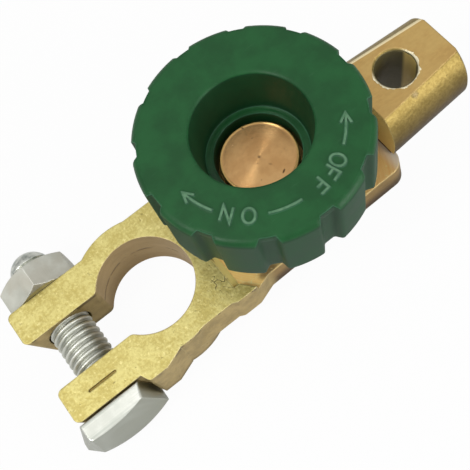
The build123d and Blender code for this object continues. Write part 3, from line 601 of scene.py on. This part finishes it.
def makeSteel(name):
    steel = steels[name]
    material, tree, shader, coords = newMaterial(name)
    normal = facing(tree)
    y = separate(tree, coords)[1]
    edges = useGroup(tree, edgeMask, {"Radius": wearAndLight["bevel"]})
    cloud = noise(tree, coords, *wearAndLight["cloudNoise"])
    colour = mixColour(tree, ramp(tree, cloud, *evenBlots), steel["dark"], steel["light"])
    head = ramp(tree, y, *wearAndLight["headRange"])
    shank = band(tree, y, *wearAndLight["shankBand"])
    tip = ramp(tree, y, *wearAndLight["tipRange"])
    nut = band(tree, y, *wearAndLight["nutBand"])
    depth = axisDistance(tree, coords, (boltAxis["x"] * mm, 0, boltAxis["z"] * mm), (1, 0, 1))
    drawn = ramp(tree, noise(tree, coords, *wearAndLight["drawnNoise"]), *wearAndLight["drawnRange"])
    smear = ramp(tree, noise(tree, coords, *wearAndLight["smearNoise"]), *evenBlots)
    # painted reflections on the polished tip, as darker blots
    tipReflection = ramp(tree, noise(tree, coords, *wearAndLight["mottleNoise"]), *wearAndLight["mottleRange"])
    # painted shade darkens the head's flanks, the thread's valleys and the gap between the nut and the
    # ear; drawing lines run along the head, the nut is warmer, and the tip carries painted reflections
    masks = {
        "flank": product(tree, ramp(tree, normal[2], *wearAndLight["flankRange"]), head),
        "valley": product(tree, ramp(tree, depth, *wearAndLight["valleyRange"]), shank),
        "gap": product(tree, band(tree, y, *wearAndLight["gapBand"]), ramp(tree, normal[1], *wearAndLight["gapRange"])),
        "drawn": product(tree, drawn, head), "smear": product(tree, nut, smear), "nut": nut,
        "mottle": product(tree, tip, tipReflection),
    }
    for part, mask in masks.items():
        tone, share = wearAndLight[part]
        colour = blotted(tree, mask, colour, tone, share * steel["wearAndLightShare"])
    # painted highlight along the edges
    colour = blotted(tree, edges["Mask"], colour, *wearAndLight["edge"])
    rough = weighted(tree, steel["rough"], (shank, wearAndLight["roughShank"] * steel["wearAndLightShare"]),
                     (tip, wearAndLight["roughTip"] * steel["wearAndLightShare"]), (cloud, wearAndLight["roughCloud"]))
    brushed = noise(tree, coords, *wearAndLight["brushNoise"])
    connect(tree, shader, {
        "Base Color": colour, "Metallic": 1.0, "Roughness": rough,
        "Normal": bumped(tree, brushed, wearAndLight["bumpStrength"], steel["bump"], edges["Normal"])})
    return material


# pressed fibre of the plate, the sleeve and the bushes

fibre = {
    "light": srgb(118, 82, 56), "dark": srgb(88, 58, 40), "layerNoise": (1, 3, 0.6, (500, 500, 5200)),
    "rough": 0.6, "bumpStrength": 0.8, "bump": 0.06 * mm, "bevel": 0.2 * mm,
}


def makeFibre():
    material, tree, shader, coords = newMaterial("pressedFibre")
    edges = useGroup(tree, edgeMask, {"Radius": fibre["bevel"]})
    layers = noise(tree, coords, *fibre["layerNoise"])
    connect(tree, shader, {
        "Base Color": mixColour(tree, ramp(tree, layers, *evenBlots), fibre["dark"], fibre["light"]),
        "Roughness": fibre["rough"],
        "Normal": bumped(tree, layers, fibre["bumpStrength"], fibre["bump"], edges["Normal"])})
    return material


materials = {
    "cast_brass": makeCastBrass(),
    "lug_brass": makeLugBrass(),
    "turned_brass": makeTurnedBrass(),
    "green_plastic": makeGreenPlastic(),
    "zinc_steel": makeSteel("zincSteel"),
    "rivet_steel": makeSteel("rivetSteel"),
    "spring_steel": makeSteel("springSteel"),
    "fibre": makeFibre(),
}
slotOf = {part["node"]: part["material_slot"] for part in frame["record"]["subparts"]}
for name, node in frame["nodes"].items():
    node.data.materials.clear()
    node.data.materials.append(materials[slotOf[name]])
print("materials on", len(slotOf), "nodes")


# clamp bolt with its thread and long head, in millimetres

bolt = {
    "headY": -12.5, "tipY": 21.5, "tipRise": 3.4, "outer": 3.98, "root": 3.42, "pitch": 1.25,
    # how square the thread is, the plain length at the tip, the run-out before it, and how far short
    # of the tip the last ring stays
    "square": 1.4, "smoothTip": 3.6, "runOut": 0.6, "tipGap": 0.002,
    "stepsRound": 96, "stepsPitch": 14,
    # the head, each size at foot and top: its reach left and right of the axis, its thickness, the
    # rise of its arch at the right, the slant of its right end, and the cut at its left corner with
    # its rise
    "left": (10.1, 7.2), "right": (6.3, 4.5), "thick": (4.3, 3.6), "arch": (1.3, 0.9),
    "slant": (0.1, 1.0), "cut": (2.2, 0.4), "cutRise": (0.9, 0.2), "headHeight": 10.0,
    # its bevelled edge: the width, how far its middle is drawn in, the level step inside it, and
    # the share of the outline that is left at the closed middle
    "edge": 0.3, "edgeMiddle": 0.3, "edgeStep": 0.15, "pole": 0.02,
    "sideSteps": 12, "arcSteps": 40, "riseSteps": 14,
    "smoothShank": 60, "smoothHead": 24,  # in degrees
}


def gridMesh(name, points):
    # points[i, j] is step j round ring i: each ring is closed, quads join a ring to the next, and
    # one flat face closes each end
    rings, steps = points.shape[:2]
    i, j = np.meshgrid(np.arange(rings - 1), np.arange(steps), indexing="ij")
    a = i * steps + j
    b = i * steps + (j + 1) % steps
    faces = np.stack([a, b, b + steps, a + steps], -1).reshape(-1, 4).tolist()
    faces.append(list(range(steps))[::-1])
    faces.append(list(range((rings - 1) * steps, rings * steps)))
    mesh = bpy.data.meshes.new(name)
    mesh.from_pydata(points.reshape(-1, 3).tolist(), [], faces)
    mesh.update()
    piece = bpy.data.objects.new(name, mesh)
    bpy.context.scene.collection.objects.link(piece)
    return piece


def threadSurface(b):
    # radius = middle + half the depth times a flattened cosine of the turns along minus round,
    # and never more than the sphere that rounds the tip
    startY = b["headY"] - b["edge"]
    turns = (b["tipY"] - startY) / b["pitch"]
    along = np.linspace(0, 1, int(turns * b["stepsPitch"]))
    y = startY + along * (b["tipY"] - b["tipGap"] - startY)
    angle = np.linspace(0, 2 * np.pi, b["stepsRound"], endpoint=False)
    yy, aa = np.meshgrid(y, angle, indexing="ij")
    wave = np.cos(2 * np.pi * (yy / b["pitch"] - aa / (2 * np.pi)))
    wave = np.tanh(b["square"] * wave) / np.tanh(b["square"])
    fade = np.clip((b["tipY"] - yy - b["smoothTip"] + b["runOut"]) / b["runOut"], 0, 1)
    wave = 1 - (1 - wave) * fade
    radius = (b["outer"] + b["root"]) / 2 + (b["outer"] - b["root"]) / 2 * wave
    sphere = (b["outer"] ** 2 + b["tipRise"] ** 2) / (2 * b["tipRise"])
    drop = np.clip(yy - (b["tipY"] - sphere), 0, sphere)
    dome = np.where(yy < b["tipY"] - b["tipRise"], b["outer"], np.sqrt(sphere**2 - drop**2))
    radius = np.minimum(radius, dome)
    return np.stack([boltAxis["x"] + radius * np.cos(aa), yy, boltAxis["z"] - radius * np.sin(aa)], -1) * mm


def arcThrough(a, b, c, steps):
    # points of the circle through three points, from a to c
    m = np.array([b - a, c - a])
    centre = a + np.linalg.solve(2 * m, (m**2).sum(1))
    angles = np.unwrap([math.atan2(p[1] - centre[1], p[0] - centre[0]) for p in (a, b, c)])
    t = np.linspace(angles[0], angles[2], steps)
    return centre + np.linalg.norm(a - centre) * np.stack([np.cos(t), np.sin(t)], -1)


def headOutline(b, end):
    # the head seen from above at its foot (end 0) or top (end 1), as one closed line of x and y:
    # four straight sides divided evenly, then the arc of the outside
    left, right, thick, arch, slant, cut, cutRise = (
        b[k][end] for k in ("left", "right", "thick", "arch", "slant", "cut", "cutRise"))
    x = boltAxis["x"]
    outer = b["headY"] - thick
    cutPoint = np.array((x - left + cut, outer + cutRise))
    rightPoint = np.array((x + right - slant, outer + arch))
    middle = np.array((x + (right - slant - left + cut) / 2, outer))
    corners = [cutPoint, np.array((x - left, outer + cutRise + cut)), np.array((x - left, b["headY"])),
               np.array((x + right, b["headY"])), rightPoint]
    sides = [start + (stop - start) * np.linspace(0, 1, b["sideSteps"], endpoint=False)[:, None]
             for start, stop in zip(corners, corners[1:])]
    return np.concatenate(sides + [arcThrough(rightPoint, middle, cutPoint, b["arcSteps"])[:-1]])


def headSurface(b):
    # rings of the outline from the foot up to the top, each a straight mix of the two; near both
    # ends they are drawn in to bevel the level faces, and the first and last close on the middle
    foot, top = headOutline(b, 0), headOutline(b, 1)
    edge, height = b["edge"], b["headHeight"]
    low = boltAxis["z"] - height / 2
    half = b["edgeMiddle"] * edge
    bevel = [(0, None), (0, edge + b["edgeStep"]), (0, edge), (half, half)]
    levels = bevel + [(rise, 0) for rise in np.linspace(edge, height - edge, b["riseSteps"])]
    levels += [(height - rise, inset) for rise, inset in reversed(bevel)]
    rings = []
    for rise, inset in levels:
        line = foot + (top - foot) * rise / height
        middle = line.mean(0)
        offset = line - middle
        share = b["pole"] if inset is None else 1 - inset / np.abs(offset).max(0)
        rings.append(np.concatenate([middle + offset * share, np.full((len(line), 1), low + rise)], 1))
    return np.array(rings) * mm


shank = gridMesh("bolt_shank", threadSurface(bolt))
head = gridMesh("bolt_head", headSurface(bolt))
for piece, angle in ((shank, bolt["smoothShank"]), (head, bolt["smoothHead"])):
    piece.data.materials.append(materials["zinc_steel"])
    piece.data.polygons.foreach_set("use_smooth", [True] * len(piece.data.polygons))
    piece.data.set_sharp_from_angle(angle=math.radians(angle))
    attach(piece, "bolt")
    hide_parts("clamp_bolt")
print("bolt made")


# floor, lamps and camera

studio = {
    "floorZ": -2.3 * mm, "floorSize": 1.6, "paper": (0.9, 0.9, 0.9, 1), "white": (1, 1, 1, 1),
    # how bright the floor is to the camera and in reflections
    "floorSeen": 0.96, "floorMirrored": 0.25,
    # the world's light, and how its reflection brightens from the side to the top
    "ambient": 0.42, "glossLow": 0.5, "glossRange": (0.1, 0.95),
    "target": (0.02, 0, 0.01),
}
lamps = {
    "key": {"place": (-0.345, -0.03, 0.48), "size": 0.3, "watts": 1.08},
    "fill": {"place": (0.26, -0.42, 0.2), "size": 0.3, "watts": 1.0},
    "glint": {"place": (-0.01, 0.15, 0.54), "size": 0.05, "watts": 0.06},
    "streak": {"place": (-0.345, -0.03, 0.48), "size": 0.03, "watts": 0.2},
}
view = {
    # the camera that was fitted to the outlines: its place, its three directions and its lens
    "place": (3.50624 * mm, -54.47428 * mm, 139.01191 * mm), "right": (0.78576, -0.5984, -0.15651),
    "down": (-0.61068, -0.71035, -0.34997), "ahead": (0.09824, 0.37057, -0.9236),
    "focalPixels": 815.33, "imagePixels": 470, "sensor": 36, "clipStart": 0.005,
}


def lightPath(tree):
    # whether the camera sees it, and whether a reflection or clear glass does
    path = tree.nodes.new("ShaderNodeLightPath").outputs
    return path["Is Camera Ray"], maths(tree, "MAXIMUM", path["Is Glossy Ray"], path["Is Transmission Ray"])


def makeStage():
    mesh = bpy.data.meshes.new("floor")
    s = studio["floorSize"]
    z = studio["floorZ"]
    mesh.from_pydata([(-s, -s, z), (s, -s, z), (s, s, z), (-s, s, z)], [], [(0, 1, 2, 3)])
    floor = bpy.data.objects.new("floor", mesh)
    bpy.context.scene.collection.objects.link(floor)
    material = bpy.data.materials.new("floorPaper")
    material.use_nodes = True
    tree = material.node_tree
    tree.nodes.clear()
    out = tree.nodes.new("ShaderNodeOutputMaterial")
    paper = addNode(tree, "ShaderNodeBsdfDiffuse", {"Color": studio["paper"]})
    glow = addNode(tree, "ShaderNodeEmission", {"Color": studio["white"], "Strength": 1.0})
    camera, mirrored = lightPath(tree)
    seen = maths(tree, "MAXIMUM", product(tree, camera, studio["floorSeen"]),
                 product(tree, mirrored, studio["floorMirrored"]))
    mix = addNode(tree, "ShaderNodeMixShader", {0: seen, 1: paper.outputs[0], 2: glow.outputs[0]})
    tree.links.new(mix.outputs[0], out.inputs[0])
    mesh.materials.append(material)


def makeWorld():
    world = bpy.data.worlds.new("studio")
    bpy.context.scene.world = world
    world.use_nodes = True
    tree = world.node_tree
    tree.nodes.clear()
    out = tree.nodes.new("ShaderNodeOutputWorld")
    camera, mirrored = lightPath(tree)
    up = separate(tree, tree.nodes.new("ShaderNodeTexCoord").outputs["Generated"])[2]
    gloss = ramp(tree, up, *studio["glossRange"], studio["glossLow"], 1.0)
    strength = addNode(tree, "ShaderNodeMix", {0: mirrored, 2: studio["ambient"], 3: gloss},
                       data_type="FLOAT").outputs[0]
    strength = maths(tree, "MAXIMUM", strength, camera)
    back = addNode(tree, "ShaderNodeBackground", {"Color": studio["white"], "Strength": strength})
    tree.links.new(back.outputs[0], out.inputs[0])


def addLamp(name, place, size, watts):
    data = bpy.data.lights.new(name, "AREA")
    data.shape = "DISK"
    data.size = size
    data.energy = watts
    lamp = bpy.data.objects.new(name, data)
    bpy.context.scene.collection.objects.link(lamp)
    lamp.location = place
    lamp.rotation_euler = (Vector(studio["target"]) - Vector(place)).to_track_quat("-Z", "Y").to_euler()


def makeCamera():
    data = bpy.data.cameras.new("camera")
    data.sensor_width = view["sensor"]
    data.lens = view["focalPixels"] / view["imagePixels"] * view["sensor"]
    data.clip_start = view["clipStart"]
    camera = bpy.data.objects.new("camera", data)
    bpy.context.scene.collection.objects.link(camera)
    right, down, ahead = (Vector(view[k]) for k in ("right", "down", "ahead"))
    turn = Matrix((right, -down, -ahead)).transposed().to_4x4()
    camera.matrix_world = Matrix.Translation(Vector(view["place"])) @ turn
    bpy.context.scene.camera = camera


makeStage()
makeWorld()
for lampName, lamp in lamps.items():
    addLamp(lampName, **lamp)
makeCamera()
bpy.context.scene.view_settings.view_transform = "Standard"
print("studio made")
